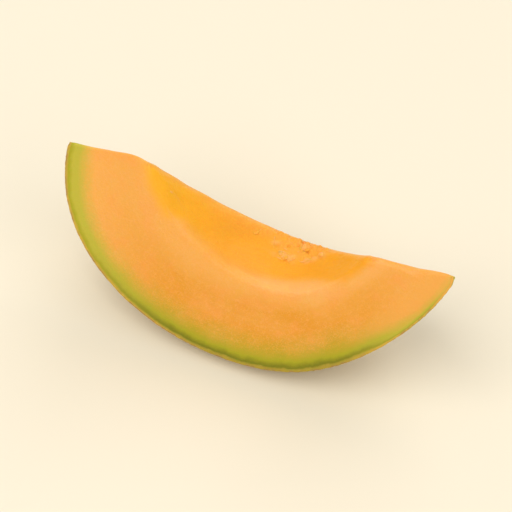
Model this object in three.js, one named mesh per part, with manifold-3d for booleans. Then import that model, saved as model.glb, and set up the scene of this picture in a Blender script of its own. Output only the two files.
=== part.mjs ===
// A slice of netted, orange-fleshed melon: about a seventh of the fruit, cut lengthwise from the stem
// end to the blossom end, with the seeds scooped out. It stands on its rind like a boat, hollow up.
//
// Millimetres, +Z up. X runs along the melon with the stem end at -X, and the two cut faces look
// towards -Y and +Y. The origin is under the middle of the slice, on the surface it stands on.

import * as THREE from 'three';
import { mergeVertices } from 'three/addons/utils/BufferGeometryUtils.js';
import Module from 'manifold-3d';

const wasm = await Module();
wasm.setup();

// The whole melon. An end's power shapes its outline: 1 is an ellipse, less is fuller, more is pointed.
const MELON_LENGTH = 155;
const MELON_RADIUS = 66.5;
const STEM_END_POWER = 0.92;
const BLOSSOM_END_POWER = 1.41;
const RIND_SWELL = 0.5; // how far the rind swells and dips, each way

// The hollow that the seeds were scooped from
const HOLLOW_LENGTH = 87.4;
const HOLLOW_RADIUS = 30.9;
const HOLLOW_STEM_POWER = 1.31;
const HOLLOW_BLOSSOM_POWER = 1.86;
const HOLLOW_SHIFT = 0.3; // its middle lies this far towards the blossom end
const HOLLOW_SWELL = 0.7; // how far its wall swells and dips, each way

// The two cuts, which meet in the slice's inner edge
const WEDGE_ANGLE = 53; // degrees
const EDGE_RISE_AT_STEM = 5.9; // the inner edge's height over the melon's axis where the hollow starts
const EDGE_RISE_AT_BLOSSOM = -5; // and where the hollow ends
const KNIFE_SWAY = 0.6; // how far each cut wanders from flat at the rind
const CUT_DEPTH = 80; // how deep below the axis the cuts are drawn, past the rind

const REST_DEPTH = 0.7; // how far the rind is flattened where the slice rests

// Fineness of the surfaces
const MELON_STEPS = 72;
const MELON_SEGMENTS = 168;
const HOLLOW_STEPS = 44;
const HOLLOW_SEGMENTS = 96;
const CUT_STEPS = 56;

const HALF_LENGTH = MELON_LENGTH / 2;
const FLESH_COLOUR = new THREE.Color(0xf9a848);
const FLESH_ROUGHNESS = 0.45;

const { lerp, degToRad, smoothstep } = THREE.MathUtils;

// Radius of a fruit's outline at an angle that runs from 0 at its first end to pi at its last. It is a
// power of the angle's sine, and the power changes evenly from one end to the other.
function outlineRadius(angle, radius, firstPower, lastPower) {
  const share = (1 - Math.cos(angle)) / 2;
  return radius * Math.pow(Math.sin(angle), lerp(firstPower, lastPower, share));
}

// Half of the lengthwise outline, from end to end along Y, as a profile for a lathe.
function outline(length, radius, firstPower, lastPower, steps) {
  const points = [new THREE.Vector2(0, -length / 2)];
  for (let i = 1; i < steps; i += 1) {
    const angle = (Math.PI * i) / steps;
    const across = outlineRadius(angle, radius, firstPower, lastPower);
    points.push(new THREE.Vector2(across, (-length / 2) * Math.cos(angle)));
  }
  points.push(new THREE.Vector2(0, length / 2));
  return points;
}

// Soft lumps over a round body: x is along it and turn is the angle about its axis. Between -1 and 1.
function lumps(x, turn) {
  const broad = Math.sin(x / 17 + 3 * turn + 0.7);
  const narrow = Math.sin(x / 9 - 5 * turn + 2.1);
  return 0.6 * broad + 0.4 * narrow;
}

// Moves a round body's surface in and out by its lumps, which fade to nothing at its two tips.
function swell(geometry, amount, tipFade) {
  const position = geometry.attributes.position;
  for (let i = 0; i < position.count; i += 1) {
    const x = position.getX(i);
    const y = position.getY(i);
    const z = position.getZ(i);
    const radius = Math.hypot(y, z);
    if (radius > 0) {
      const fade = Math.min(1, radius / tipFade);
      const grown = 1 + (amount * fade * lumps(x, Math.atan2(y, -z))) / radius;
      position.setXYZ(i, x, y * grown, z * grown);
    }
  }
  return geometry;
}

// A closed geometry as a solid that can be cut. Triangles that a pole has closed up are left out.
function solidOf(geometry) {
  geometry.deleteAttribute('normal');
  geometry.deleteAttribute('uv');
  const merged = mergeVertices(geometry, 1e-4);
  const corners = merged.index.array;
  const kept = [];
  for (let i = 0; i < corners.length; i += 3) {
    const [a, b, c] = corners.slice(i, i + 3);
    if (a !== b && b !== c && c !== a) {
      kept.push(a, b, c);
    }
  }
  const vertProperties = new Float32Array(merged.attributes.position.array);
  const triVerts = new Uint32Array(kept);
  return new wasm.Manifold(new wasm.Mesh({ numProp: 3, vertProperties, triVerts }));
}

// A solid's triangles as a geometry.
function geometryOf(solid) {
  const mesh = solid.getMesh();
  const geometry = new THREE.BufferGeometry();
  geometry.setAttribute('position', new THREE.BufferAttribute(mesh.vertProperties, 3));
  geometry.setIndex(new THREE.BufferAttribute(mesh.triVerts, 1));
  geometry.computeVertexNormals();
  return geometry;
}

// The melon before it is cut, with its long axis on X.
function wholeMelon() {
  const profile = outline(MELON_LENGTH, MELON_RADIUS, STEM_END_POWER, BLOSSOM_END_POWER, MELON_STEPS);
  const body = new THREE.LatheGeometry(profile, MELON_SEGMENTS).rotateZ(-Math.PI / 2);
  return solidOf(swell(body, RIND_SWELL, MELON_RADIUS / 2));
}

// Height of the slice's inner edge over the melon's axis. It is 0 at both tips, and passes smoothly
// through its rise at each end of the hollow.
function innerEdgeHeight(x) {
  const first = HOLLOW_SHIFT - HOLLOW_LENGTH / 2;
  const last = HOLLOW_SHIFT + HOLLOW_LENGTH / 2;
  const risen = EDGE_RISE_AT_STEM * smoothstep(x, -HALF_LENGTH, first);
  const passed = (EDGE_RISE_AT_BLOSSOM - EDGE_RISE_AT_STEM) * smoothstep(x, first, last);
  return risen + passed - EDGE_RISE_AT_BLOSSOM * smoothstep(x, last, HALF_LENGTH);
}

// The seed hollow, a smaller round body that follows the slice's inner edge.
function seedHollow() {
  const powers = [HOLLOW_STEM_POWER, HOLLOW_BLOSSOM_POWER];
  const profile = outline(HOLLOW_LENGTH, HOLLOW_RADIUS, ...powers, HOLLOW_STEPS);
  const body = new THREE.LatheGeometry(profile, HOLLOW_SEGMENTS).rotateZ(-Math.PI / 2);
  swell(body, HOLLOW_SWELL, HOLLOW_RADIUS / 2);
  body.translate(HOLLOW_SHIFT, 0, 0);
  const position = body.attributes.position;
  for (let i = 0; i < position.count; i += 1) {
    position.setZ(i, position.getZ(i) + innerEdgeHeight(position.getX(i)));
  }
  return solidOf(body);
}

// The space between the two cuts: a triangle carried along X. Its top corner follows the inner edge,
// and its lower corners sway a little, as a knife does.
function cutWedge() {
  const halfWidth = CUT_DEPTH * Math.tan(degToRad(WEDGE_ANGLE / 2));
  const triangle = new THREE.Shape();
  triangle.moveTo(0, 0);
  triangle.lineTo(-halfWidth, -CUT_DEPTH);
  triangle.lineTo(halfWidth, -CUT_DEPTH);
  triangle.closePath();
  const length = MELON_LENGTH * 1.04;
  const options = { depth: length, steps: CUT_STEPS, bevelEnabled: false };
  const wedge = new THREE.ExtrudeGeometry(triangle, options);
  wedge.translate(0, 0, -length / 2);
  // the triangle's own X and Y become the slice's Y and Z, and its depth becomes X
  wedge.applyMatrix4(new THREE.Matrix4().set(0, 0, 1, 0, 1, 0, 0, 0, 0, 1, 0, 0, 0, 0, 0, 1));
  const position = wedge.attributes.position;
  for (let i = 0; i < position.count; i += 1) {
    const x = position.getX(i);
    const side = Math.sign(position.getY(i));
    if (side === 0) {
      position.setZ(i, innerEdgeHeight(x));
    } else {
      position.setY(i, side * (halfWidth + KNIFE_SWAY * Math.sin(x / 21 + side)));
    }
  }
  return solidOf(wedge);
}

// The block under the slice that flattens its rind to a small resting face.
function restBlock() {
  const height = MELON_RADIUS / 2;
  const block = new THREE.BoxGeometry(MELON_LENGTH, MELON_LENGTH, height);
  block.translate(0, 0, REST_DEPTH - MELON_RADIUS - height / 2);
  return solidOf(block);
}

function melonSlice() {
  const cut = wholeMelon().intersect(cutWedge()).subtract(seedHollow());
  const geometry = geometryOf(cut.subtract(restBlock()));
  const colour = { color: FLESH_COLOUR, roughness: FLESH_ROUGHNESS, metalness: 0 };
  const slice = new THREE.Mesh(geometry, new THREE.MeshStandardMaterial(colour));
  slice.name = 'melon_slice';
  geometry.computeBoundingBox();
  const middle = geometry.boundingBox.getCenter(new THREE.Vector3());
  slice.position.set(-middle.x, -middle.y, -geometry.boundingBox.min.z);
  return slice;
}

const object = new THREE.Group();
object.add(melonSlice());

export default object;
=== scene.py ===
"""The looks of a slice of netted, orange-fleshed melon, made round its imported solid.

Everything is in metres, in the solid's own frame. X runs along the melon with the stem end at -X, the
two cut faces look towards -Y and +Y, and Z is up from the surface that the slice stands on.
"""

import math

import bpy
import numpy as np
from bpy.props import FloatProperty, FloatVectorProperty, IntProperty, PointerProperty
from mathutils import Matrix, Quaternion, Vector


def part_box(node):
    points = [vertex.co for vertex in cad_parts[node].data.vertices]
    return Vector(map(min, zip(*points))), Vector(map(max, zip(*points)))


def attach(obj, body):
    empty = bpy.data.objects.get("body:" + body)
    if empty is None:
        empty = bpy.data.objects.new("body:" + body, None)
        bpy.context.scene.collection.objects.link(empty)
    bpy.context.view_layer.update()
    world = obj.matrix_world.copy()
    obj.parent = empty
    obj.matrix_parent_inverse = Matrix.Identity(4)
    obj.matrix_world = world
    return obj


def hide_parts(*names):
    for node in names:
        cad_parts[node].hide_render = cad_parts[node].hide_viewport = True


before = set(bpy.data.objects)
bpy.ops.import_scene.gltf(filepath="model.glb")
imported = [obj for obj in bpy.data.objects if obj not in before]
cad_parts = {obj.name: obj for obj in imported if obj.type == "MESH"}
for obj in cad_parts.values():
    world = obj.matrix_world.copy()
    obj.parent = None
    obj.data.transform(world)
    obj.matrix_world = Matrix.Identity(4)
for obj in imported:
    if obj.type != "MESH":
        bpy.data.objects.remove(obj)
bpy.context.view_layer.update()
LOW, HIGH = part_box("melon_slice")
MIDDLE = (LOW + HIGH) / 2

bl_info = {
    "name": "Melon Slice",
    "version": (1, 0, 0),
    "blender": (4, 5, 0),
    "location": "View3D > Sidebar > Melon",
    "description": "Builds a slice of netted melon, the pulp left in its hollow, and a plain stage",
    "category": "Object",
}

MM = 0.001
UP = np.array([0.0, 0.0, 1.0])
SIDES = (-1, 1)  # the cut face towards -Y and the one towards +Y
EDGE_ROWS = {-1: 0, 1: -1}  # which row of a surface that runs from cut to cut lies on each side's cut


def number(name, default, description, **kind):
    """A number that a user may change."""
    return FloatProperty(name=name, description=description, default=default, **kind)


def whole(name, default, description):
    """A whole number that a user may change."""
    return IntProperty(name=name, description=description, default=default)


def length(name, millimetres, description):
    """A length that a user may change, in metres, with its default given in millimetres."""
    return number(name, millimetres * MM, description, unit="LENGTH", precision=5)


def angle(name, degrees, description):
    """An angle that a user may change, in radians, with its default given in degrees."""
    return number(name, math.radians(degrees), description, subtype="ANGLE")


def colour(name, shown, description):
    """A colour that a user may change, with its default given as a screen shows it, 0 to 255 each."""
    shown = np.array(shown) / 255
    linear = np.where(shown <= 0.04045, shown / 12.92, ((shown + 0.055) / 1.055) ** 2.4)
    kind = {"default": tuple(linear.tolist()), "subtype": "COLOR", "size": 3, "min": 0, "max": 1}
    return FloatVectorProperty(name=name, description=description, **kind)


# ---- What a user may change ----


class MelonSizes(bpy.types.PropertyGroup):
    """Sizes of the melon, of the hollow that its seeds came from, and of the two cuts."""

    length: length("Length", (HIGH.x - LOW.x) / MM, "Stem end to blossom end")
    radius: length("Radius", 66.5, "From the melon's axis to its rind")
    stem_power: number("Stem end power", 0.92, "1 is an ellipse, less is fuller")
    blossom_power: number("Blossom end power", 1.41, "1 is an ellipse, more is pointed")
    rind_swell: length("Rind swell", 0.5, "How far the rind swells and dips")
    hollow_length: length("Hollow length", 87.4, "Length of the seed hollow")
    hollow_radius: length("Hollow radius", 30.9, "From the inner edge to the hollow's wall")
    hollow_stem_power: number("Hollow stem power", 1.31, "More makes that end more pointed")
    hollow_blossom_power: number("Hollow blossom power", 1.86, "More makes that end more pointed")
    hollow_shift: length("Hollow shift", 0.3, "Its middle's way to the blossom end")
    hollow_swell: length("Hollow swell", 0.7, "How far its wall swells and dips")
    wedge: angle("Wedge", 53, "Angle between the two cut faces")
    stem_rise: length("Stem rise", 5.9, "Inner edge over the axis on the stem side")
    blossom_rise: length("Blossom rise", -5, "The same on the blossom side")
    knife_sway: length("Knife sway", 0.6, "How far a cut wanders at the cut depth")
    cut_depth: length("Cut depth", 80, "Depth at which the knife sway is given")
    rest_depth: length("Rest depth", 0.7, "How far the rind is flattened where it rests")


class EdgeSizes(bpy.types.PropertyGroup):
    """How round the slice's edges are."""

    rind_round: length("Rind edge", 0.45, "Round between rind and cut face")
    hollow_round: length("Hollow edge", 2.6, "Round between hollow and cut face")
    inner_wear: length("Inner edge wear", 0.7, "How far the sharp inner edge is worn down")
    blossom_wear: length("Blossom side wear", 2, "The same on the blossom side")
    shoulder_wear: length("Shoulder wear", 1.3, "More wear of it where the hollow starts")
    stem_tip_wear: length("Stem tip wear", 0.9, "How far that tip is worn back")
    blossom_tip_wear: length("Blossom tip wear", 1.4, "The same at the blossom end")
    stem_corner: length("Stem corner", 1.6, "How far the hollow's first corner is worn back")
    blossom_corner: length("Blossom corner", 1, "The same at the hollow's last corner")
    nick: length("Nick", 1.8, "Size of the nicks in the hollow's far edge")
    fold: length("Fold", 0.5, "Height of the fold beside the hollow's edge at the stem end")
    fold_width: length("Fold width", 2.1, "Half its width")


class NetSizes(bpy.types.PropertyGroup):
    """Sizes of the corky net on the rind."""

    cell: length("Net cell", 3.5, "Distance from one mesh of the net to the next")
    strand: length("Net strand", 0.64, "Half width of a strong strand")
    height: length("Net height", 0.45, "How far a strong strand stands up")
    wander: length("Net wander", 1.1, "How far the strands bend from straight lines")
    scar: length("End scar", 5, "Radius of the smooth scar at either end")


class PulpSizes(bpy.types.PropertyGroup):
    """The shreds that the spoon left in the hollow."""

    strands: whole("Strands", 9, "Number of torn strands")
    strand_length: length("Strand length", 8, "Length of a long strand")
    strand_radius: length("Strand radius", 0.42, "Half the thickness of a thick strand")
    specks: whole("Specks", 15, "Number of soft crumbs")
    speck_radius: length("Speck radius", 1.3, "Radius of a large crumb")


class FleshColours(bpy.types.PropertyGroup):
    """Colours from the skin inwards to the hollow."""

    skin: colour("Skin", (203, 170, 60), "Cut edge of the pale outer skin")
    green: colour("Green", (128, 126, 0), "Dark green line under the skin")
    lime: colour("Lime", (172, 166, 18), "Yellow-green flesh inside that line")
    # Cream pales the ends, which is partly the flesh's own colour and partly painted light.
    cream: colour("Cream", (194, 184, 56), "Pale yellow flesh inside that line near both ends")
    amber: colour("Amber", (194, 163, 30), "Yellowish flesh before the orange")
    orange: colour("Orange", (230, 155, 38), "Flesh")
    # Pale orange is a painted highlight next to the hollow; it also pales both ends and the blossom
    # tip.
    pale: colour("Pale orange", (244, 175, 82), "Paler flesh beside the hollow")
    blush: colour("Blush", (246, 160, 74), "Pinker patches in the flesh")
    hollow: colour("Hollow", (244, 165, 18), "Wet wall of the hollow")
    honey: colour("Honey", (255, 182, 18), "The hollow's wall at the stem end")
    # Pulp's colour is also the painted highlight beside the hollow's near edge and the flesh's cell
    # walls.
    pulp: colour("Pulp", (252, 184, 108), "Shreds of pulp left in the hollow")


class RindColours(bpy.types.PropertyGroup):
    """Colours of the outside."""

    ground: colour("Ground", (158, 132, 60), "Skin between the net's strands")
    moss: colour("Moss", (132, 122, 44), "Greener places in the skin")
    cork: colour("Cork", (214, 186, 128), "The net's corky strands")
    # Dusk darkens low cork and flecks the skin; on the cut skin line it is painted shade.
    dusk: colour("Dusk", (158, 122, 72), "Browned cork in the net's creases")
    scar: colour("Scar", (178, 146, 92), "The smooth scar at either end")


class StageSettings(bpy.types.PropertyGroup):
    """Floor, lights and camera."""

    floor: colour("Floor", (242, 234, 215), "Plain pale floor")
    azimuth: angle("Azimuth", 17.9, "How far the camera stands round to the blossom end")
    elevation: angle("Elevation", 52.5, "How far the camera looks down")
    roll: angle("Roll", 5, "How far the camera leans")
    distance: length("Distance", 1190, "From the camera to the slice")
    lens: number("Lens", 222, "Focal length in millimetres")


class Fineness(bpy.types.PropertyGroup):
    """How finely the slice is divided."""

    columns: whole("Columns", 480, "From tip to tip")
    rind_rows: whole("Rind rows", 98, "From cut to cut")
    face_rows: whole("Face rows", 31, "From hollow to rind")
    hollow_rows: whole("Hollow rows", 62, "From cut to cut")


# ---- Fields and steps that the shapes share ----


def smooth(value, low, high):
    """0 below low, 1 above high, and 3t^2 - 2t^3 between, with t the share of the way."""
    share = np.clip((value - low) / (high - low), 0, 1)
    return share * share * (3 - 2 * share)


def bell(away, width):
    """Bell curve: e to the power of minus the square of a distance counted in widths."""
    return np.exp(-((away / width) ** 2))


def waves(points, wavelength, seed, stretch=(1, 1, 1), count=22):
    """Soft random field with a standard deviation of a half: the sum of plane cosine waves with random
    directions, phases and lengths near the one given, over the root of twice their number. Stretch
    lengthens them along X, Y and Z."""
    random = np.random.default_rng(seed)
    heading = unit(random.normal(size=(count, 3)))
    wave = heading / (wavelength * random.uniform(0.7, 1.5, count))[:, None]
    turns = (points / np.array(stretch)) @ wave.T + random.random(count)
    return np.cos(2 * np.pi * turns).sum(-1) / math.sqrt(2 * count)


def lumps(x, turn):
    """Soft swells, between -1 and 1: three fifths of a broad sine and two fifths of a narrow one, each
    of the place along a round body and a whole multiple of the angle round it."""
    broad = np.sin(x / (17 * MM) + 3 * turn + 0.7)
    narrow = np.sin(x / (9 * MM) - 5 * turn + 2.1)
    return 0.6 * broad + 0.4 * narrow


def drawn_in(count, share):
    """Shares from 0 to 1 that crowd at both ends: even steps less a share of one turn of a sine."""
    even = np.linspace(0, 1, count + 1)
    return even - share * np.sin(2 * np.pi * even) / (2 * np.pi)


def tight_ends(count, steps):
    """Shares from 0 to 1 with the given narrow steps at both ends and even steps between them."""
    first = np.cumsum([0, *steps])
    middle = np.linspace(first[-1], 1 - first[-1], count + 1 - 2 * len(steps))
    return np.concatenate([first[:-1], middle, 1 - first[-2::-1]])


def fall(away, reach):
    """1 at an edge and 0 from its reach on: the square of the share that is left."""
    return np.clip(1 - away / reach, 0, 1) ** 2


def unit(vectors):
    """Vectors in the same directions and of length 1."""
    return vectors / np.linalg.norm(vectors, axis=-1, keepdims=True)


def distance(first, second):
    """Distance between points. Their coordinates are on the last axis."""
    return np.linalg.norm(first - second, axis=-1)


def in_parts(points):
    """A list of points in parts of about 4096, to spare memory."""
    return np.array_split(points, max(1, len(points) // 4096))


def gap_to(points, line):
    """Shortest distance from each point to the corners of a finely divided line."""
    nearest = [distance(part[:, None], line).min(1) for part in in_parts(points.reshape(-1, 3))]
    return np.concatenate(nearest).reshape(points.shape[:-1])


# ---- The melon's own form ----
# Heights here are over the melon's axis, and turns are angles round it from straight down towards +Y.
# The angle along the melon runs from 0 at the stem end to pi at the other.


def outline_radius(along, radius, powers):
    """Radius of a fruit's outline: a power of the sine of the angle along it. The power changes evenly
    from one end to the other."""
    share = (1 - np.cos(along)) / 2
    return radius * np.clip(np.sin(along), 0, 1) ** (powers[0] + (powers[1] - powers[0]) * share)


def inner_edge_height(m, x):
    """Height of the slice's inner edge: 0 at both tips, with smooth steps to its rise at each end of
    the hollow."""
    first = m.hollow_shift - m.hollow_length / 2
    last = m.hollow_shift + m.hollow_length / 2
    height = m.stem_rise * smooth(x, -m.length / 2, first)
    height += (m.blossom_rise - m.stem_rise) * smooth(x, first, last)
    return height - m.blossom_rise * smooth(x, last, m.length / 2)


def cut_half_width(m, x, side):
    """How far out a cut is at the cut depth: the wedge's half width there plus a slow sine."""
    half = m.cut_depth * math.tan(m.wedge / 2)
    return half + m.knife_sway * np.sin(x / (21 * MM) + side)


def cut_y(m, x, height, side):
    """Y of a cut at a place and height. At each X the cut is a straight line from the inner edge to
    its half width at the cut depth."""
    edge = inner_edge_height(m, x)
    share = (edge - height) / (edge + m.cut_depth)
    return side * cut_half_width(m, x, side) * share


def face_normal(m, side):
    """Outward normal of a cut face, taken as flat."""
    return np.array([0, side * math.cos(m.wedge / 2), math.sin(m.wedge / 2)])


def round_body(full_length, radius, powers, swell, along, turn):
    """Points and outward normals of a lumpy body turned on a lathe. X is minus half the length times
    the cosine of the angle along. The radius is the outline's plus the lumps, which fade where the
    body is narrow, and a normal is the outline's tangent turned a quarter."""

    def radius_at(angle_along):
        base = outline_radius(angle_along, radius, powers)
        fade = np.minimum(1, base / (radius / 2))
        return base + swell * fade * lumps(-full_length / 2 * np.cos(angle_along), turn)

    step = 1e-4
    rise = (radius_at(along + step) - radius_at(along - step)) / (2 * step)
    run = full_length / 2 * np.sin(along)
    size = np.hypot(run, rise) + 1e-12
    out, out_share = radius_at(along), run / size
    sine, cosine = np.sin(turn), np.cos(turn)
    x = -full_length / 2 * np.cos(along) + 0 * turn
    normals = np.stack([-rise / size, out_share * sine, -out_share * cosine], -1)
    return np.stack([x, out * sine, -out * cosine], -1), normals


def rind_surface(m, along, turn):
    """Points and outward normals of the smooth rind."""
    powers = (m.stem_power, m.blossom_power)
    return round_body(m.length, m.radius, powers, m.rind_swell, along, turn)


def rind_edge_turn(m, along, side):
    """Turn at which the rind meets a cut: where the cut's straight line leaves a circle of the rind's
    radius. It is worked out three times, each with the radius at the turn just found."""
    x = -m.length / 2 * np.cos(along)
    edge = inner_edge_height(m, x)
    run = cut_half_width(m, x, side)
    drop = edge + m.cut_depth
    turn = np.full_like(x, side * m.wedge / 2)
    square = run**2 + drop**2
    for _ in range(3):
        points = rind_surface(m, along, turn)[0]
        radius = np.hypot(points[:, 1], points[:, 2])
        root = np.sqrt(np.maximum((edge * drop) ** 2 - square * (edge**2 - radius**2), 0))
        share = (edge * drop + root) / square
        turn = np.arctan2(side * run * share, drop * share - edge + 1e-9)
    return turn


def hollow_surface(m, along, turn):
    """Points of the hollow's smooth wall and normals into the hollow, a smaller body of the same kind
    whose axis is the slice's inner edge. Its turns are round that edge."""
    powers = (m.hollow_stem_power, m.hollow_blossom_power)
    points, outward = round_body(m.hollow_length, m.hollow_radius, powers, m.hollow_swell, along, turn)
    points[..., 0] += m.hollow_shift
    points[..., 2] += inner_edge_height(m, points[..., 0])
    return points, -outward


def hollow_edge_turn(m, along, side):
    """Turn round the inner edge at which the hollow's wall meets a cut, which is the cut's own."""
    x = m.hollow_shift - m.hollow_length / 2 * np.cos(along)
    return side * np.arctan2(cut_half_width(m, x, side), inner_edge_height(m, x) + m.cut_depth)


# ---- Relief ----

ROUGH_X = 14.5 * MM  # middle of the rough spot in the hollow, where pulp was torn
ROUGH_Y = 8 * MM
ROUGH_STRETCH = 2.4  # how many times longer than wide the spot is
FOLD_GAP = 5.2 * MM  # from the hollow's edge to the fold beside it
FOLD_END = (-36 * MM, -16 * MM)  # where the fold dies away


def net_seeds(m, n, random):
    """Middles of the net's meshes: a staggered grid over the rind and past both cuts, with each point
    shifted by up to two fifths of a cell."""
    half = m.wedge / 2 + 1.5 * n.cell / m.radius
    powers = (m.stem_power, m.blossom_power)
    spots = []
    for row in range(int(math.pi * m.length / 2 / n.cell)):
        along = (row + 0.5) * n.cell / (m.length / 2)
        width = float(outline_radius(along, m.radius, powers))
        number = max(1, round(2 * half * width / n.cell))
        turns = ((np.arange(number) + 0.5 + 0.5 * (row % 2)) / number * 2 - 1) * half
        spots.append(np.stack([np.full(number, along), turns], 1))
    along, turn = np.concatenate(spots).T
    shift = random.uniform(-0.4, 0.4, (2, len(along))) * n.cell
    radius = outline_radius(along, m.radius, powers)
    along = np.clip(along + shift[0] / (m.length / 2), 0.01, math.pi - 0.01)
    return rind_surface(m, along, turn + shift[1] / np.maximum(radius, n.cell))[0]


def nearest_three(points, seeds):
    """Numbers of the three nearest seeds of each point, nearest first."""
    found = []
    for part in in_parts(points):
        away = ((part[:, None, :] - seeds[None, :, :]) ** 2).sum(-1)
        near = np.argpartition(away, 3, axis=1)[:, :3]
        order = np.take_along_axis(away, near, 1).argsort(1)
        found.append(np.take_along_axis(near, order, 1))
    return np.concatenate(found).T


def pair_luck(first, second):
    """A number from 0 to 1 that is the same for two seeds whichever comes first: what a large multiple
    of a sine of their sum and product has beyond a whole number."""
    mixed = np.sin((first + second) * 12.9898 + first * second * 0.7233) * 43758.5453
    return mixed - np.floor(mixed)


def net_field(m, n, points):
    """Strength of the net at each point, 0 in a mesh and 1 on a strong strand. A strand is a bell curve
    of the distance from the plane midway between two seeds, and its width and strength come from the
    pair's luck. The points are first shifted by a soft field, so that the strands wander, and each
    takes the strongest strand between its three nearest seeds."""
    seeds = net_seeds(m, n, np.random.default_rng(11)).astype(np.float32)
    wander = np.stack([waves(points, 4.6 * MM, 20 + axis) for axis in range(3)], -1)
    moved = (points + n.wander * wander).astype(np.float32)
    near = nearest_three(moved, seeds)
    square = [((moved - seeds[number]) ** 2).sum(-1) for number in near]
    breadth = waves(points, 9 * MM, 31)
    net = np.zeros(len(points))
    for first, second in ((0, 1), (0, 2), (1, 2)):
        apart = distance(seeds[near[first]], seeds[near[second]]) + 1e-9
        away = (square[second] - square[0]) / (2 * apart)
        luck = pair_luck(near[first].astype(float), near[second].astype(float))
        width = n.strand * np.clip(0.6 + 0.6 * luck + 0.3 * breadth, 0.3, 2)
        strength = smooth(luck + 0.4 * breadth, -0.1, 0.5)
        net = np.maximum(net, strength * bell(away, width))
    return net


def rind_relief(n, points, net):
    """Height over the smooth rind, and 1 on the scar with an uneven rim at either end. The height is
    the net's strands with finer cork on them, grain and soft dents, all lowered a little so that the
    strongest strands just pass the solid. The scars are sunken."""
    rim = n.scar * (1 + 0.25 * waves(points, 6 * MM, 41))
    scar = 1 - smooth(np.hypot(points[..., 1], points[..., 2]), 0.75 * rim, 1.2 * rim)
    height = n.height * net * (0.92 + 0.2 * waves(points, 1.5 * MM, 51, count=30))
    height += 0.05 * MM * waves(points, 1.3 * MM, 52) + 0.12 * MM * waves(points, 6 * MM, 53)
    return (height - 0.35 * n.height) * (1 - scar) - 0.25 * MM * scar, scar


def pulp_field(points):
    """1 in the hollow's rough spot, long and uneven, where shreds of pulp were left, and 0 away from
    it."""
    away = np.hypot((points[..., 0] - ROUGH_X) / ROUGH_STRETCH, points[..., 1] - ROUGH_Y)
    away = away + 1.2 * MM * waves(points, 5 * MM, 62)
    return 1 - smooth(away, 1.5 * MM, 6.5 * MM)


def hollow_wall(m, e, along, turn):
    """Points, normals, pulp and distance from the edge of the hollow's wall. Its relief is broad scoop
    marks, fine lengthwise threads, uneven clumps with small pits where there is pulp, and at the stem
    end a fold, a bell curve beside the edge. All of it fades at the edge."""
    points, normals = hollow_surface(m, along, turn)
    x = points[..., 0]
    radius = np.hypot(points[..., 1], points[..., 2] - inner_edge_height(m, x))
    near, far = (hollow_edge_turn(m, along, side) for side in SIDES)
    gap = np.minimum(turn - near, far - turn) * radius
    window = smooth(gap, 0, 2 * MM) * smooth(radius, 0, 8 * MM)
    clumps = smooth(waves(points, 5.5 * MM, 73, count=30), -0.1, 0.6)
    pits = smooth(waves(points, 2.4 * MM, 75, count=30), 0.5, 1.0)
    pulp = pulp_field(points) * window
    scoops = 0.28 * MM * waves(points, 13 * MM, 71)
    threads = 0.05 * MM * waves(points, 1.9 * MM, 72, stretch=(5, 1, 1), count=30)
    shreds = clumps * (0.8 * MM + 0.25 * MM * waves(points, 1.9 * MM, 74, stretch=(1.6, 1, 1)))
    shreds = shreds - 0.7 * MM * pits
    crest = bell(gap - FOLD_GAP, e.fold_width) * (1 - smooth(x, *FOLD_END))
    height = (scoops + threads + e.fold * crest) * window + shreds * pulp
    return points + normals * height[..., None], normals, pulp * (0.2 + 0.8 * clumps), gap


# ---- The slice as one closed surface ----

HOLLOW_COLUMNS = (math.radians(24), math.radians(150))  # angles along the rind that face its two ends
CORNER_SHARE = 1 - math.sqrt(0.5)  # a round corner's middle lies this share of its radius from a side
ROUND_REACH = 4 * CORNER_SHARE  # a parabola of that depth leaves the sides this many radii away
EDGE_STEPS = np.array([0.12, 0.18, 0.24, 0.3]) * MM  # widths of the rind's first rows beside a cut
FAR = 40 * MM  # a distance at which the hollow no longer changes the colours
BLOSSOM_SIDE = (30 * MM, 50 * MM)  # where the inner edge's wear becomes the blossom side's
SHOULDER_WIDTH = 6 * MM
NARROW = (1 * MM, 9 * MM)  # radii between which the hollow's edge takes over from the inner edge
TORN_X = 15 * MM  # middle of the torn stretch of the hollow's far edge
TORN_REACH = 11 * MM


def cut_to_cut(edge_turn, m, along, shares):
    """Turns at shares of the way from the near cut to the far one, and how far each is from a cut."""
    near, far = (edge_turn(m, along, side)[:, None] for side in SIDES)
    turn = near + (far - near) * shares
    return turn, np.minimum(turn - near, far - turn)


def pushed(points, moves, share):
    """A grid of points, each moved by its column's move times its own share."""
    return points + moves[:, None] * share[..., None]


def rind_patch(m, e, n, f, along):
    """The netted rind from cut to cut, with narrow rows beside each. Each point stands off the smooth
    rind by the relief, no lower than the resting face, and both edges are rounded off."""
    shares = tight_ends(f.rind_rows, EDGE_STEPS / (m.radius * m.wedge))
    turn, gap = cut_to_cut(rind_edge_turn, m, along, shares)
    points, normals = rind_surface(m, along[:, None] + 0 * turn, turn)
    gap = gap * np.hypot(points[..., 1], points[..., 2])
    net = net_field(m, n, points.reshape(-1, 3)).reshape(turn.shape)
    height, scar = rind_relief(n, points, net)
    height = height * (0.3 + 0.7 * smooth(gap, 0, 3 * MM))
    points = points + normals * height[..., None]
    points[..., 2] = np.maximum(points[..., 2], m.rest_depth - m.radius)
    rims = {side: points[:, row].copy() for side, row in EDGE_ROWS.items()}
    moves = {}
    for side, rim in rims.items():
        back = -CORNER_SHARE * e.rind_round * (normals[:, EDGE_ROWS[side]] + face_normal(m, side))
        moves[side] = back * smooth(gap_to(rim, rim[[0, -1]]), 0.5 * MM, 4 * MM)[:, None]
        near_rim = fall(distance(points, rim[:, None]), ROUND_REACH * e.rind_round)
        points = pushed(points, moves[side], near_rim)
    values = {"net": net * (1 - scar), "scar": scar, "rind_gap": -gap, "hollow_gap": FAR}
    return points, values, rims, moves


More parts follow.
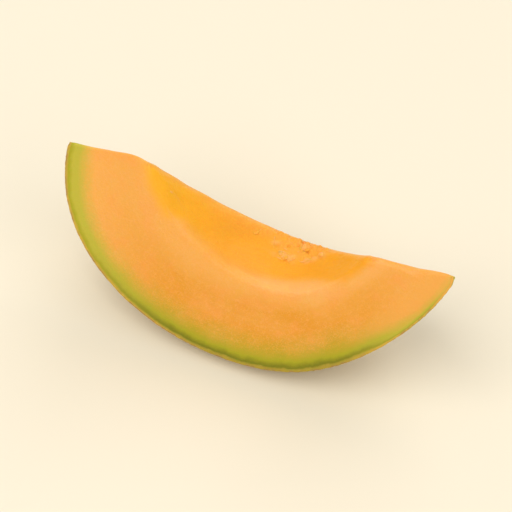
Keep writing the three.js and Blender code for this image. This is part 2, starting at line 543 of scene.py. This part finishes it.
def inner_outline(m, along, side):
    """Where a cut face ends inside: the slice's inner edge as far as the hollow, the hollow's own edge,
    and the inner edge again. Returns points and, at each, the hollow's angle along, which is not a
    number where there is no hollow."""
    ends = m.hollow_shift + m.hollow_length / 2 * np.array([-1, 1])
    corners = ([0, *HOLLOW_COLUMNS, math.pi], [-m.length / 2, *ends, m.length / 2])
    x = np.interp(along, *corners)
    points = np.stack([x, 0 * x, inner_edge_height(m, x)], -1)
    hollow = (along - HOLLOW_COLUMNS[0]) / (HOLLOW_COLUMNS[1] - HOLLOW_COLUMNS[0]) * math.pi
    inside = (hollow > 1e-6) & (hollow < math.pi - 1e-6)
    turn = hollow_edge_turn(m, hollow[inside], side)
    points[inside] = hollow_surface(m, hollow[inside], turn)[0]
    return points, np.where(inside, hollow, np.nan)


def blunting(m, e, line, hollow, side):
    """How each point of the inner outline moves to blunt it, and how far into the surfaces beside it
    that reaches. The sharp inner edge sinks, unevenly, more on the blossom side and where the hollow
    starts, and less at the tips. The hollow's edge moves back from both surfaces, as far as a round
    corner's middle, with an uneven radius, and with nicks where the far one is torn. One passes into
    the other where the hollow is narrow."""
    x = line[:, 0]
    wear = e.inner_wear + (e.blossom_wear - e.inner_wear) * smooth(x, *BLOSSOM_SIDE)
    wear = wear * (1 + 0.4 * waves(line, 10 * MM, 93))
    wear = wear + e.shoulder_wear * bell(x - m.hollow_shift + m.hollow_length / 2, SHOULDER_WIDTH)
    sunk = wear * smooth(m.length / 2 - abs(x), 0, 3.5 * MM)
    width = np.where(np.isnan(hollow), 0, np.sin(hollow)) * m.hollow_radius
    share = smooth(width, *NARROW)
    safe = np.nan_to_num(hollow)
    inward = hollow_surface(m, safe, hollow_edge_turn(m, safe, side))[1]
    radius = e.hollow_round * (1 + 0.3 * waves(line, 12 * MM, 91))
    back = -CORNER_SHARE * radius[:, None] * (inward + face_normal(m, side))
    torn = bell(x - TORN_X, TORN_REACH) * (side > 0)
    back = back + (e.nick * waves(line, 2.6 * MM, 92) * torn)[:, None] * UP
    move = -(sunk * (1 - share))[:, None] * UP + share[:, None] * back
    reach = 2.8 * wear / math.cos(m.wedge / 2) * (1 - share) + ROUND_REACH * radius * share
    return move, reach


def face_patch(m, e, f, side, line, rim, blunt, rim_move):
    """A cut face from its inner outline to the rind's edge. Across it, X and height run straight, with
    the rows crowded at both edges, and Y follows the cut. Its relief, the slow wander of a knife and
    faint marks, fades at the edges, which are then rounded off."""
    rows = drawn_in(f.face_rows, 0.88)
    points = line[:, None, :] + (rim - line)[:, None, :] * rows[None, :, None]
    off_cut = points[..., 1] - cut_y(m, points[..., 0], points[..., 2], side)
    points[..., 1] += off_cut * (np.maximum(rows, 1 - rows) ** 8 - 1)
    from_line, from_rim = (distance(points, edge[:, None]) for edge in (line, rim))
    window = smooth(np.minimum(from_line, from_rim), 0, 3 * MM)
    marks = 0.15 * MM * waves(points, 30 * MM, 81) + 0.03 * MM * waves(points, 3 * MM, 82)
    points = points + face_normal(m, side) * (marks * window)[..., None]
    move, reach = blunt
    points = pushed(points, move, fall(from_line, reach[:, None]))
    return pushed(points, rim_move, fall(from_rim, ROUND_REACH * e.rind_round))


def hollow_patch(m, e, f, hollow, blunts):
    """The hollow's wall from cut to cut, with the rows crowded at both edges, which are rounded off."""
    turn = cut_to_cut(hollow_edge_turn, m, hollow, drawn_in(f.hollow_rows, 0.6))[0]
    points, _, pulp, gap = hollow_wall(m, e, hollow[:, None] + 0 * turn, turn)
    falls = {}
    for side, row in EDGE_ROWS.items():
        falls[side] = fall(distance(points, points[:, row, None]), blunts[side][1][:, None])
    total = np.maximum(1, falls[-1] + falls[1])
    for side in SIDES:
        points = pushed(points, blunts[side][0], falls[side] / total)
    return points, {"pulp": pulp, "hollow_gap": -gap}


def worn_corner(points, corner, back, wear):
    """Points with one corner of the slice's outline rounded off. Each moves back along X and down, by
    the wear times the fall of its distance from the corner over 4 wears."""
    share = fall(distance(points, points[corner]), 4 * wear)
    return points + (share * wear)[:, None] * np.array([back, 0, -1])


def grid_triangles(numbers):
    """Two triangles for each square of grids of point numbers on the last two axes. They face along
    the cross product of those axes. Those that a shared point closes up are left out."""
    a, b = numbers[..., :-1, :-1], numbers[..., 1:, :-1]
    c, d = numbers[..., 1:, 1:], numbers[..., :-1, 1:]
    faces = np.concatenate([np.stack(three, -1).reshape(-1, 3) for three in ((a, b, c), (a, c, d))])
    p, q, s = faces.T
    return faces[(p != q) & (q != s) & (s != p)]


def new_mesh(name, points, triangles, values=None, slots=None):
    """A smooth mesh from points and triangles, with a number for each point under each value's name.
    Points that no triangle uses are left out."""
    used, corners = np.unique(triangles, return_inverse=True)
    mesh = bpy.data.meshes.new(name)
    mesh.vertices.add(len(used))
    mesh.vertices.foreach_set("co", points[used].astype(np.float32).ravel())
    mesh.loops.add(corners.size)
    mesh.loops.foreach_set("vertex_index", corners.astype(np.int32).ravel())
    mesh.polygons.add(len(triangles))
    mesh.polygons.foreach_set("loop_start", np.arange(0, corners.size, 3, dtype=np.int32))
    mesh.polygons.foreach_set("use_smooth", np.ones(len(triangles), bool))
    if slots is not None:
        mesh.polygons.foreach_set("material_index", slots.astype(np.int32))
    for key, value in (values or {}).items():
        attribute = mesh.attributes.new(key, "FLOAT", "POINT")
        attribute.data.foreach_set("value", value[used].astype(np.float32))
    mesh.update(calc_edges=True)
    return mesh


class Skin:
    """Collects the points, values and triangles of patches that share points."""

    names = ("rind_gap", "hollow_gap", "run", "net", "scar", "pulp")

    def __init__(self):
        self.points = np.zeros((0, 3))
        self.values = {name: np.zeros(0) for name in self.names}
        self.triangles = []
        self.slots = []

    def add(self, points, values):
        """Adds points with their values and returns their numbers, laid out as the points are."""
        shape = points.shape[:-1]
        start = len(self.points)
        self.points = np.concatenate([self.points, points.reshape(-1, 3)])
        for name in self.names:
            value = np.broadcast_to(values.get(name, 0.0), shape).reshape(-1)
            self.values[name] = np.concatenate([self.values[name], value])
        return np.arange(start, len(self.points)).reshape(shape)

    def close(self, numbers, slot, flip):
        """Adds the triangles of a grid of point numbers, turned over if flip is true."""
        faces = grid_triangles(numbers)
        self.triangles.append(faces[:, ::-1] if flip else faces)
        self.slots.append(np.full(len(faces), slot))


def slice_place(m):
    """Where the middle of the melon's axis is in the frame."""
    return np.array([MIDDLE.x, MIDDLE.y, LOW.z + m.radius - m.rest_depth])


def slice_mesh(m, e, n, f):
    """The slice as one closed surface of four patches, the rind, two cut faces and the hollow's wall,
    which share the points of their edges and tips. Slot 0 is flesh and slot 1 rind."""
    along = np.linspace(0, math.pi, f.columns + 1)
    first, last = (int(np.argmin(abs(along - column))) for column in HOLLOW_COLUMNS)
    along[[first, last]] = HOLLOW_COLUMNS
    skin = Skin()

    points, values, rims, rim_moves = rind_patch(m, e, n, f, along)
    steps = distance(rims[-1][1:], rims[-1][:-1])
    run = np.concatenate([[0], np.cumsum(steps)])[:, None]
    rind = skin.add(points, values | {"run": run})
    rind[[0, -1]] = rind[[0, -1], :1]
    skin.close(rind, 1, flip=True)

    lines = {side: inner_outline(m, along, side) for side in SIDES}
    blunts = {side: blunting(m, e, *lines[side], side) for side in SIDES}
    crossing = slice(first + 1, last)
    wall_blunts = {side: [part[crossing] for part in blunts[side]] for side in SIDES}
    points, values = hollow_patch(m, e, f, lines[-1][1][crossing], wall_blunts)
    depth = np.minimum(*(gap_to(points, rims[side]) for side in SIDES))
    wall = skin.add(points, values | {"run": run[crossing], "rind_gap": depth})

    inside = None
    for side, row in EDGE_ROWS.items():
        line, rim = lines[side][0], rims[side]
        points = face_patch(m, e, f, side, line, rim, blunts[side], rim_moves[side])
        gaps = {"rind_gap": gap_to(points, rim), "hollow_gap": gap_to(points, line[crossing])}
        face = skin.add(points, gaps | {"run": run})
        inside = face[:, 0].copy() if inside is None else inside
        face[:, 0] = inside
        face[crossing, 0] = wall[:, row]
        face[:, -1] = rind[:, row]
        face[[0, -1]] = rind[[0, -1], :1]
        skin.close(face, 0, flip=side < 0)

    start, end = (np.full_like(wall[:1], inside[column]) for column in (first, last))
    skin.close(np.concatenate([start, wall, end]), 0, flip=False)
    corners = (rind[0, 0], rind[-1, 0], inside[first], inside[last])
    wears = (e.stem_tip_wear, e.blossom_tip_wear, e.stem_corner, e.blossom_corner)
    for corner, back, wear in zip(corners, (1, -1, -1, 1), wears):
        skin.points = worn_corner(skin.points, corner, back, wear)
    triangles, slots = (np.concatenate(parts) for parts in (skin.triangles, skin.slots))
    return new_mesh("slice_body", skin.points + slice_place(m), triangles, skin.values, slots)


# ---- What the spoon left in the hollow ----


def pulp_spots(m, e, random, count):
    """Angles along and round the hollow of chance spots on its wall, clear of its edges, and the pulp
    there. Most are where the wall is rough."""
    tries = 6000
    along = random.uniform(0.5, 2.7, tries)
    turn = random.uniform(-0.86, 0.86, tries) * hollow_edge_turn(m, along, 1)
    pulp = hollow_wall(m, e, along, turn)[2]
    kept = np.flatnonzero(random.random(tries) < 0.004 + 0.9 * pulp)[:count]
    return along[kept], turn[kept], pulp[kept]


def closed_rings(name, m, rings):
    """A mesh of closed pieces. Each is a row of rings, whose first and last are single points."""
    numbers = np.arange(rings[..., 0].size).reshape(rings.shape[:3])
    numbers = np.concatenate([numbers, numbers[:, :, :1]], 2)
    numbers[:, [0, -1]] = numbers[:, [0, -1], :1]
    return new_mesh(name, rings.reshape(-1, 3) + slice_place(m), grid_triangles(numbers))


def strands_mesh(m, e, p):
    """Torn strands of pulp on the hollow's wall, mostly lengthwise. Each is a tube carried along 22
    steps of a line on the wall that bends by a sine, sunk by half its radius, with one end lifted
    where there is pulp. Its radius is a root of the sine of the share of the way, so that both ends
    close, and a soft field changes it by about a third."""
    random = np.random.default_rng(7)
    along, turn, pulp = (part[:, None] for part in pulp_spots(m, e, random, p.strands))
    count = len(along)
    share = np.linspace(0, 1, 23)
    size = p.strand_length * random.uniform(0.25, 1, (count, 1))
    heading = random.normal(0, 0.5, (count, 1))
    bend = random.uniform(-0.9, 0.9, (count, 1)) * MM
    phase = random.uniform(0, 6.3, (count, 1))
    ahead = (share - 0.5) * size * np.cos(heading)
    across = (share - 0.5) * size * np.sin(heading) + bend * np.sin(4 * share + phase)
    along = np.clip(along + ahead / (m.hollow_length / 2), 0.4, 2.75)
    edge = hollow_edge_turn(m, along, 1)
    turn = np.clip(turn + across / (0.8 * m.hollow_radius), -0.9 * edge, 0.9 * edge)
    points, normals, _, _ = hollow_wall(m, e, along, turn)
    radius = p.strand_radius * random.uniform(0.4, 1, (count, 1)) * np.sin(np.pi * share) ** 0.6
    radius = radius * (1 + 0.7 * waves(points, 2 * MM, 96))
    lift = 0.3 * MM * random.uniform(-0.6, 1, (count, 1)) * pulp * share**2
    centre = points + normals * (lift - 0.5 * radius)[..., None]
    beside = np.cross(unit(np.gradient(centre, axis=1)), normals)
    ring = np.linspace(0, 2 * np.pi, 11)[:-1, None]
    spoke = beside[:, :, None] * np.cos(ring) + normals[:, :, None] * np.sin(ring)
    rings = centre[:, :, None] + radius[:, :, None, None] * spoke
    return closed_rings("hollow_strands", m, rings)


def specks_mesh(m, e, p):
    """Soft crumbs of pulp, largest where the wall is rough. Each is a flattened ball of 13 rings,
    longer along the melon and sunk by a quarter of its thickness, whose radius a soft field changes
    by about a quarter."""
    random = np.random.default_rng(6)
    along, turn, pulp = pulp_spots(m, e, random, p.specks)
    points, normals, _, _ = hollow_wall(m, e, along, turn)
    size = p.speck_radius * random.uniform(0.3, 1.0, len(along)) * (0.5 + 0.5 * pulp)
    down = np.linspace(0, np.pi, 13)[:, None]
    turn = np.linspace(0, 2 * np.pi, 19)[:-1]
    ball = [np.sin(down) * np.cos(turn), np.sin(down) * np.sin(turn), np.cos(down) + 0 * turn]
    beside = unit(np.cross(normals, [1.0, 0, 0]))
    axes = np.stack([np.cross(beside, normals) * 1.5, beside, normals * 0.35], 1)
    shape = (np.stack(ball, -1) @ axes[:, None]) * size[:, None, None, None]
    centre = (points - normals * size[:, None] * 0.17)[:, None, None]
    uneven = 1 + 0.5 * waves(centre + shape, 2.2 * MM, 95)
    return closed_rings("pulp_specks", m, centre + shape * uneven[..., None])


# ---- Materials ----


class Value:
    """A number, colour or vector on its way through a material. Arithmetic on it adds Math nodes."""

    def __init__(self, finish, socket):
        self.finish = finish
        self.socket = socket

    def math(self, operation, first, second):
        return self.finish.node("ShaderNodeMath", {"operation": operation}, {0: first, 1: second})

    def __add__(self, other):
        return self.math("ADD", self, other)

    def __sub__(self, other):
        return self.math("SUBTRACT", self, other)

    def __mul__(self, other):
        return self.math("MULTIPLY", self, other)

    def __rsub__(self, other):
        return self.math("SUBTRACT", other, self)

    __radd__ = __add__
    __rmul__ = __mul__

    def over(self, other):
        """Whichever of the two is larger."""
        return self.math("MAXIMUM", self, other)

    def rising(self, low, high):
        """0 where the value is below low, 1 above high, smooth between."""
        settings = {"interpolation_type": "SMOOTHSTEP"}
        values = {"Value": self, "From Min": low, "From Max": high}
        return self.finish.node("ShaderNodeMapRange", settings, values)


class Finish:
    """A material and the ways to add nodes to it."""

    def __init__(self, name):
        self.material = bpy.data.materials.new(name)
        self.material.use_nodes = True
        self.tree = self.material.node_tree
        self.tree.nodes.clear()
        self.place = self.node("ShaderNodeTexCoord", output="Object")

    def node(self, kind, settings=None, values=None, output=0):
        """Adds a node, sets its settings and ramp stops, then its sockets. Returns an output."""
        made = self.tree.nodes.new(kind)
        for key, setting in (settings or {}).items():
            if key == "stops":
                self.set_stops(made.color_ramp, setting)
            else:
                setattr(made, key, setting)
        for key, value in (values or {}).items():
            if isinstance(value, Value):
                self.tree.links.new(value.socket, made.inputs[key])
            else:
                made.inputs[key].default_value = value
        return Value(self, made.outputs[output]) if made.outputs else None

    @staticmethod
    def set_stops(ramp, stops):
        """Puts (place, colour) stops on a ramp that starts with two."""
        while len(ramp.elements) < len(stops):
            ramp.elements.new(1)
        for element, (place, shade) in zip(ramp.elements, stops):
            element.position = place
            element.color = (*shade, 1)

    def coordinate(self, axis):
        """The object coordinate X, Y or Z."""
        return self.node("ShaderNodeSeparateXYZ", None, {"Vector": self.place}, output=axis)

    def attribute(self, name):
        return self.node("ShaderNodeAttribute", {"attribute_name": name}, output="Fac")

    def moved(self, seed, stretch=(1, 1, 1), place=None):
        """Object coordinates or others, stretched, and shifted so that each seed has its pattern."""
        shift = {"Location": (0.11 * seed, 0.07 * seed, 0), "Scale": [1 / part for part in stretch]}
        return self.node("ShaderNodeMapping", None, {"Vector": place or self.place, **shift})

    def noise(self, size, seed, detail=2.0, **moves):
        """Noise from 0 to 1 whose blotches are about the size given."""
        values = {"Vector": self.moved(seed, **moves), "Scale": 1 / size, "Detail": detail}
        return self.node("ShaderNodeTexNoise", None, values)

    def cells(self, size, seed, feature):
        """Distance to the edge or the middle of cells of the size given, in cell sizes."""
        values = {"Vector": self.moved(seed), "Scale": 1 / size}
        return self.node("ShaderNodeTexVoronoi", {"feature": feature}, values, output="Distance")

    def ramp(self, place, stops):
        """Colour that runs through the (place, colour) stops."""
        return self.node("ShaderNodeValToRGB", {"stops": stops}, {"Fac": place})

    def mix(self, share, *shades):
        """The first colour where share is 0 and the second where it is 1."""
        first, second = (shade if isinstance(shade, Value) else (*shade, 1) for shade in shades)
        settings = {"data_type": "RGBA", "clamp_factor": True}
        return self.node("ShaderNodeMix", settings, {0: share, 6: first, 7: second}, output=2)

    def bump(self, height, rise):
        """Normal of a surface that is raised by the rise where height is 1."""
        values = {"Height": height, "Distance": rise, "Strength": 1.0}
        return self.node("ShaderNodeBump", None, values)

    def finished(self, **sockets):
        """Ends the material in a Principled shader with these sockets, and returns it."""
        values = {key.replace("_", " "): value for key, value in sockets.items()}
        shader = self.node("ShaderNodeBsdfPrincipled", None, values)
        self.node("ShaderNodeOutputMaterial", None, {"Surface": shader})
        return self.material


TIP = (70, 76)  # where the blossom tip's own looks begin and are full, in millimetres along the melon
DEEPEST = 40  # depth under the rind at which the flesh's ramps end, in millimetres
GRAIN_RISE = 0.28 * MM  # how far flesh and rind are raised by their finest relief
GLOW = (1.0, 0.45, 0.12)  # how far red, green and blue light spread in flesh


def flesh_rings(s, c, along, depth, uneven):
    """Colour by the millimetres of depth under the rind. The dark green line is strongest in the
    middle, where the skin is darker too, partly the green line and partly painted shade. Next to the
    hollow the flesh turns pale orange, a painted highlight. Near both ends the flesh is paler, partly
    its own colour and partly painted light, and at the blossom end each colour comes sooner."""
    sooner = along(50, 72) * 7.5 + along(36, 56) * depth.rising(2, 7) * 4
    ring = (depth + (uneven + sooner) * depth.rising(0.6, 2.2)) * (1 / DEEPEST)
    skin = [(0, c.skin), (0.84, c.skin)]
    middle = [(1.88, c.green), (2.4, c.green), (4.4, c.lime), (8, c.amber), (16, c.orange)]
    # The last stop, pale orange next to the hollow, is a painted highlight.
    middle += [(24, c.orange), (32.8, c.pale)]
    ends = [(1.6, c.lime), (3.2, c.cream), (5.2, c.cream), (12.4, c.pale)]
    ramps = [[(at / DEEPEST, shade) for at, shade in skin + rest] for rest in (middle, ends)]
    # Near both ends the flesh is paler: partly its own colour and partly painted light.
    end = (1 - along(-68, -16)).over(along(40, 64) * 0.8)
    flesh = s.mix(end, *(s.ramp(ring, stops) for stops in ramps))
    # The skin darkens towards green in the middle of the length: partly the green line, partly painted
    # shade.
    line = along(-30, -5) * (1 - along(42, 58)) * (1 - depth.rising(0.8, 1.8)) * 0.45
    return s.mix(line, flesh, c.green)


def hollow_shares(along, near, edge, uneven):
    """Shares of the hollow's wet colour and of a painted highlight, a pale stripe on the near side, by
    the millimetres outside the hollow's edge. On the near side the wet colour passes the edge by the
    spill, which is negative between the hollow's ends. The change is softest in the stem half."""
    spill = along(-36, -26) * 5.3 + along(-12, 10) * 5.1
    spill = 3.5 - spill + along(21, 40) * 10
    late = along(20, 34)
    outside = edge + uneven + 0.5 - near * spill
    soft = 3.5 + (along(-30, -20) - along(-4, 10)) * 3 - late * 1.5
    wet = 1 - outside.rising(0 - soft, soft)
    # Painted highlight: a pale stripe just outside the hollow's edge, as if light caught the round
    # edge.
    painted_highlight = outside.rising(0, 5) * (1 - edge.rising(late * 3.5 - 1, late * 3.5 + 6))
    return wet, painted_highlight * near * along(-2, 12) * 0.45


def flesh_material(c, rind):
    """Cut flesh: rings of colour under the rind, dark breaks in the skin line that are painted shade,
    faint threads that follow the rind, soft mottling, pinker patches, a grain of fine cells, patches of
    juice, a painted highlight beside the hollow and a stronger, wetter orange in it."""
    s = Finish("melon_flesh")
    x = s.coordinate("X")

    def along(first, last):
        """0 before the first place along the melon and 1 past the last, both in millimetres."""
        return x.rising(first * MM, last * MM)

    near = 1 - s.coordinate("Y").rising(-2 * MM, 1 * MM)
    gap = s.attribute("rind_gap")
    depth = gap * 1000
    edge = s.attribute("hollow_gap") * 1000
    tip = along(*TIP)
    lay = s.node("ShaderNodeCombineXYZ", None, {"X": s.attribute("run"), "Y": gap})
    blotch = s.noise(14 * MM, 1, detail=3)
    patch = s.noise(7 * MM, 2)
    flush = s.noise(9 * MM, 8, detail=3)
    grain = s.noise(1.2 * MM, 3, detail=4)
    lines = s.noise(1.5 * MM, 4, detail=3, stretch=(9, 1, 1), place=lay)
    threads = s.noise(1.2 * MM, 5, detail=3, stretch=(6, 1, 1))
    pores = s.cells(0.7 * MM, 6, "SMOOTH_F1")
    walls = 1 - s.cells(0.9 * MM, 9, "DISTANCE_TO_EDGE").rising(0.02, 0.16)
    broken = s.noise(3 * MM, 7, place=lay)

    flesh = flesh_rings(s, c, along, depth, (patch - 0.5) * 2 + (broken - 0.5) * 1.5)
    # Painted shade: dark breaks in the skin line stand in for the rind in shadow past the rim.
    painted_rim_shade = broken.rising(0.42, 0.58) * (1 - depth.rising(0.5, 1.2)) * (1 - tip)
    flesh = s.mix(painted_rim_shade * 0.6, flesh, rind.dusk)
    mottle = blotch.rising(0.35, 0.7) * 0.25 + (lines - 0.5) * 0.5 + (patch - 0.5) * 0.4
    # Painted highlight: near the hollow's edge the flesh is mixed towards pale orange; the mottle is
    # real.
    beside = (1 - edge.rising(1, along(14, 40) * 8 + 9)) * (along(0, 30) * 0.4 + 0.6)
    flesh = s.mix((mottle + beside) * depth.rising(4, 12), flesh, c.pale)
    flesh = s.mix(flush.rising(0.45, 0.65) * depth.rising(8, 14) * 0.4, flesh, c.blush)
    flesh = s.mix((0.55 - pores) * depth.rising(4, 10) * 0.7, flesh, c.hollow)
    flesh = s.mix(walls * grain.rising(0.35, 0.65) * depth.rising(3, 12) * 0.28, flesh, c.pulp)

    wall, painted_highlight = hollow_shares(along, near, edge, (patch - 0.5) * 2)
    # Painted highlight: the pale stripe beside the hollow's near edge is mixed towards the pulp's
    # colour.
    flesh = s.mix(painted_highlight, flesh, c.pulp)
    wet = s.mix(blotch.rising(0.3, 0.75) * 0.3 + (threads - 0.5) * 0.6, c.hollow, c.orange)
    wet = s.mix((1 - along(-42, -8)) * 0.8, wet, c.honey)
    flesh = s.mix(wall, flesh, wet)
    flesh = s.mix(s.attribute("pulp") * 0.85, flesh, c.pulp)
    flesh = s.mix(tip * 0.6, flesh, c.pale)

    height = pores * 0.5 + grain * 0.5 + lines * (1 - wall) * 0.5 + threads * wall * 0.7
    return s.finished(
        Base_Color=flesh,
        Roughness=0.5 + wall * 0.1 + (grain - 0.5) * 0.3,
        Coat_Weight=blotch.rising(0.3, 0.7) * depth.rising(3, 9) * (1 - wall) * 0.25 + wall * 0.1,
        Normal=s.bump(height, GRAIN_RISE),
        Coat_Roughness=0.22,
        Subsurface_Weight=0.4,
        Subsurface_Scale=2 * MM,
        Subsurface_Radius=GLOW,
        Specular_IOR_Level=0.35,
    )


def rind_material(c, flesh):
    """Rind: a khaki skin with greener places, beige cork on the net's strands, finer cracks between
    them, a brown scar at either end and a yellow-green fringe beside the cuts."""
    s = Finish("melon_rind")
    net = s.attribute("net")
    gap = s.attribute("rind_gap") * 1000
    blotch = s.noise(16 * MM, 1, detail=3)
    grain = s.noise(0.9 * MM, 2, detail=4)
    crumb = s.noise(0.45 * MM, 3, detail=2)

    cracks = s.cells(1.7 * MM, 4, "DISTANCE_TO_EDGE")
    fine = (1 - cracks.rising(0.02, 0.12)) * blotch.rising(0.4, 0.65) * 0.7
    cork = (net + (grain - 0.5) * 0.45).rising(0.26, 0.5).over(fine * grain.rising(0.35, 0.6))
    ground = s.mix(blotch.rising(0.35, 0.68), c.ground, c.moss)
    ground = s.mix(grain.rising(0.45, 0.8) * 0.35, ground, c.dusk)
    tip = s.coordinate("X").rising(*(place * MM for place in TIP))
    fringe = (gap + (grain - 0.5) * 1.2 + tip * 3).rising(-1.3, -0.1)
    scar = s.attribute("scar") * (1 - fringe)
    ground = s.mix(fringe, ground, s.mix(tip, flesh.lime, flesh.cream))
    shade = s.mix(grain.rising(0.3, 0.62), c.dusk, c.cork)
    shade = s.mix(net.rising(0.35, 0.8) * 0.75, shade, c.cork)
    skin = s.mix(cork, ground, shade)
    skin = s.mix(scar * 0.9, skin, s.mix(grain.rising(0.3, 0.7), c.dusk, c.scar))

    height = cork * 0.55 + crumb * cork * 0.35 + grain * 0.2
    return s.finished(
        Base_Color=skin,
        Roughness=0.55 + cork * 0.3 + (grain - 0.5) * 0.2,
        Normal=s.bump(height, GRAIN_RISE),
        Specular_IOR_Level=0.35,
    )


def pulp_material(c):
    """Torn pulp: pale and moist, a little deeper in places."""
    s = Finish("melon_pulp")
    blotch = s.noise(3 * MM, 1, detail=2)
    grain = s.noise(0.5 * MM, 2, detail=2)
    return s.finished(
        Base_Color=s.mix(blotch.rising(0.3, 0.6) * 0.8, c.pulp, c.hollow),
        Roughness=0.45 + grain * 0.2,
        Coat_Weight=blotch * 0.2,
        Normal=s.bump(grain, 0.06 * MM),
        Coat_Roughness=0.3,
        Specular_IOR_Level=0.25,
        Subsurface_Weight=0.35,
        Subsurface_Scale=1 * MM,
        Subsurface_Radius=GLOW,
    )


def floor_material(tone):
    """Plain matt board with the faintest unevenness in its tone."""
    s = Finish("pale_floor")
    shade = tuple(0.985 * part for part in tone)
    return s.finished(
        Base_Color=s.mix(s.noise(0.4, 1, detail=2), tone, shade),
        Roughness=0.85,
        Specular_IOR_Level=0.2,
    )


# ---- Operators ----


def add_piece(mesh, materials):
    """Puts a mesh in the scene at the origin with its materials."""
    piece = bpy.data.objects.new(mesh.name, mesh)
    for material in materials:
        mesh.materials.append(material)
    bpy.context.scene.collection.objects.link(piece)
    return piece


class MELON_OT_slice(bpy.types.Operator):
    """Build the slice with its rind, cut faces and hollow"""

    bl_idname = "melon.slice"
    bl_label = "Slice"

    def execute(self, context):
        scene = context.scene
        mesh = slice_mesh(scene.melon, scene.melon_edges, scene.melon_net, scene.melon_fineness)
        flesh, rind = scene.melon_flesh, scene.melon_rind
        body = add_piece(mesh, [flesh_material(flesh, rind), rind_material(rind, flesh)])
        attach(body, "root")
        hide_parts("melon_slice")
        return {"FINISHED"}


class MELON_OT_pulp(bpy.types.Operator):
    """Build the threads and crumbs of pulp that the spoon left in the hollow"""

    bl_idname = "melon.pulp"
    bl_label = "Pulp"

    def execute(self, context):
        scene = context.scene
        material = pulp_material(scene.melon_flesh)
        for make in (strands_mesh, specks_mesh):
            piece = add_piece(make(scene.melon, scene.melon_edges, scene.melon_pulp), [material])
            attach(piece, "root")
        return {"FINISHED"}


def place_facing(thing, azimuth, elevation, away, roll=0.0):
    """Puts an object at a distance from the slice's middle, facing it. Its azimuth is 0 at -Y and a
    quarter turn at +X."""
    level = math.cos(elevation)
    back = Vector((math.sin(azimuth) * level, -math.cos(azimuth) * level, math.sin(elevation)))
    thing.location = MIDDLE + back * away
    thing.rotation_mode = "QUATERNION"
    thing.rotation_quaternion = Quaternion(back, roll) @ (-back).to_track_quat("-Z", "Y")
    bpy.context.scene.collection.objects.link(thing)


def add_lamp(name, azimuth, elevation, away, size, power, tint):
    """A large square lamp that faces the slice, with its angles in degrees."""
    light = bpy.data.lights.new(name, "AREA")
    light.size = size
    light.energy = power
    light.color = tint
    lamp = bpy.data.objects.new(name, light)
    place_facing(lamp, math.radians(azimuth), math.radians(elevation), away)


FLOOR_HALF = 3.0  # half the floor's width
FLOOR_GAP = 0.05 * MM  # between the floor and the slice's resting face
ROOM_LIGHT = (1.0, 0.965, 0.9, 1)
ROOM_STRENGTH = 0.5
WARM = (1.0, 0.97, 0.92)  # tints of the lamps
MILD = (1.0, 0.98, 0.95)


class MELON_OT_stage(bpy.types.Operator):
    """Build the floor, the lights and the camera"""

    bl_idname = "melon.stage"
    bl_label = "Stage"

    def execute(self, context):
        scene = context.scene
        s = scene.melon_stage
        mesh = bpy.data.meshes.new("floor")
        corners = np.array([(-1, -1), (1, -1), (1, 1), (-1, 1)]) * FLOOR_HALF
        mesh.from_pydata([(*corner, LOW.z - FLOOR_GAP) for corner in corners], [], [(0, 1, 2, 3)])
        add_piece(mesh, [floor_material(tuple(s.floor))])

        world = bpy.data.worlds.new("soft_room")
        world.use_nodes = True
        background = world.node_tree.nodes["Background"]
        background.inputs["Color"].default_value = ROOM_LIGHT
        background.inputs["Strength"].default_value = ROOM_STRENGTH
        scene.world = world
        add_lamp("key", azimuth=-35, elevation=58, away=1.5, size=1.3, power=13.4, tint=WARM)
        add_lamp("fill", azimuth=70, elevation=35, away=1.6, size=1.4, power=5, tint=MILD)
        add_lamp("back", azimuth=175, elevation=40, away=1.6, size=1.2, power=8, tint=MILD)

        camera = bpy.data.objects.new("camera", bpy.data.cameras.new("camera"))
        camera.data.lens = s.lens
        camera.data.clip_start = 0.05
        camera.data.clip_end = 20
        place_facing(camera, s.azimuth, s.elevation, s.distance, s.roll)
        scene.camera = camera
        scene.view_settings.view_transform = "Standard"
        return {"FINISHED"}


class MELON_PT_panel(bpy.types.Panel):
    """Lists the pieces"""

    bl_idname = "MELON_PT_panel"
    bl_label = "Melon Slice"
    bl_space_type = "VIEW_3D"
    bl_region_type = "UI"
    bl_category = "Melon"

    def draw(self, context):
        for operator in OPERATORS:
            self.layout.operator(operator.bl_idname)


SETTINGS = {
    "melon": MelonSizes,
    "melon_edges": EdgeSizes,
    "melon_net": NetSizes,
    "melon_pulp": PulpSizes,
    "melon_flesh": FleshColours,
    "melon_rind": RindColours,
    "melon_stage": StageSettings,
    "melon_fineness": Fineness,
}
OPERATORS = (MELON_OT_slice, MELON_OT_pulp, MELON_OT_stage)
CLASSES = (*SETTINGS.values(), *OPERATORS, MELON_PT_panel)


def register():
    """Registers the classes and puts the settings on the scene."""
    for each in CLASSES:
        bpy.utils.register_class(each)
    for name, group in SETTINGS.items():
        setattr(bpy.types.Scene, name, PointerProperty(type=group))


def unregister():
    """Takes the settings off the scene and unregisters the classes."""
    for name in SETTINGS:
        delattr(bpy.types.Scene, name)
    for each in reversed(CLASSES):
        bpy.utils.unregister_class(each)


def main():
    """Builds every piece and the stage."""
    register()
    bpy.ops.melon.slice()
    bpy.ops.melon.pulp()
    bpy.ops.melon.stage()


if __name__ == "__main__":
    main()
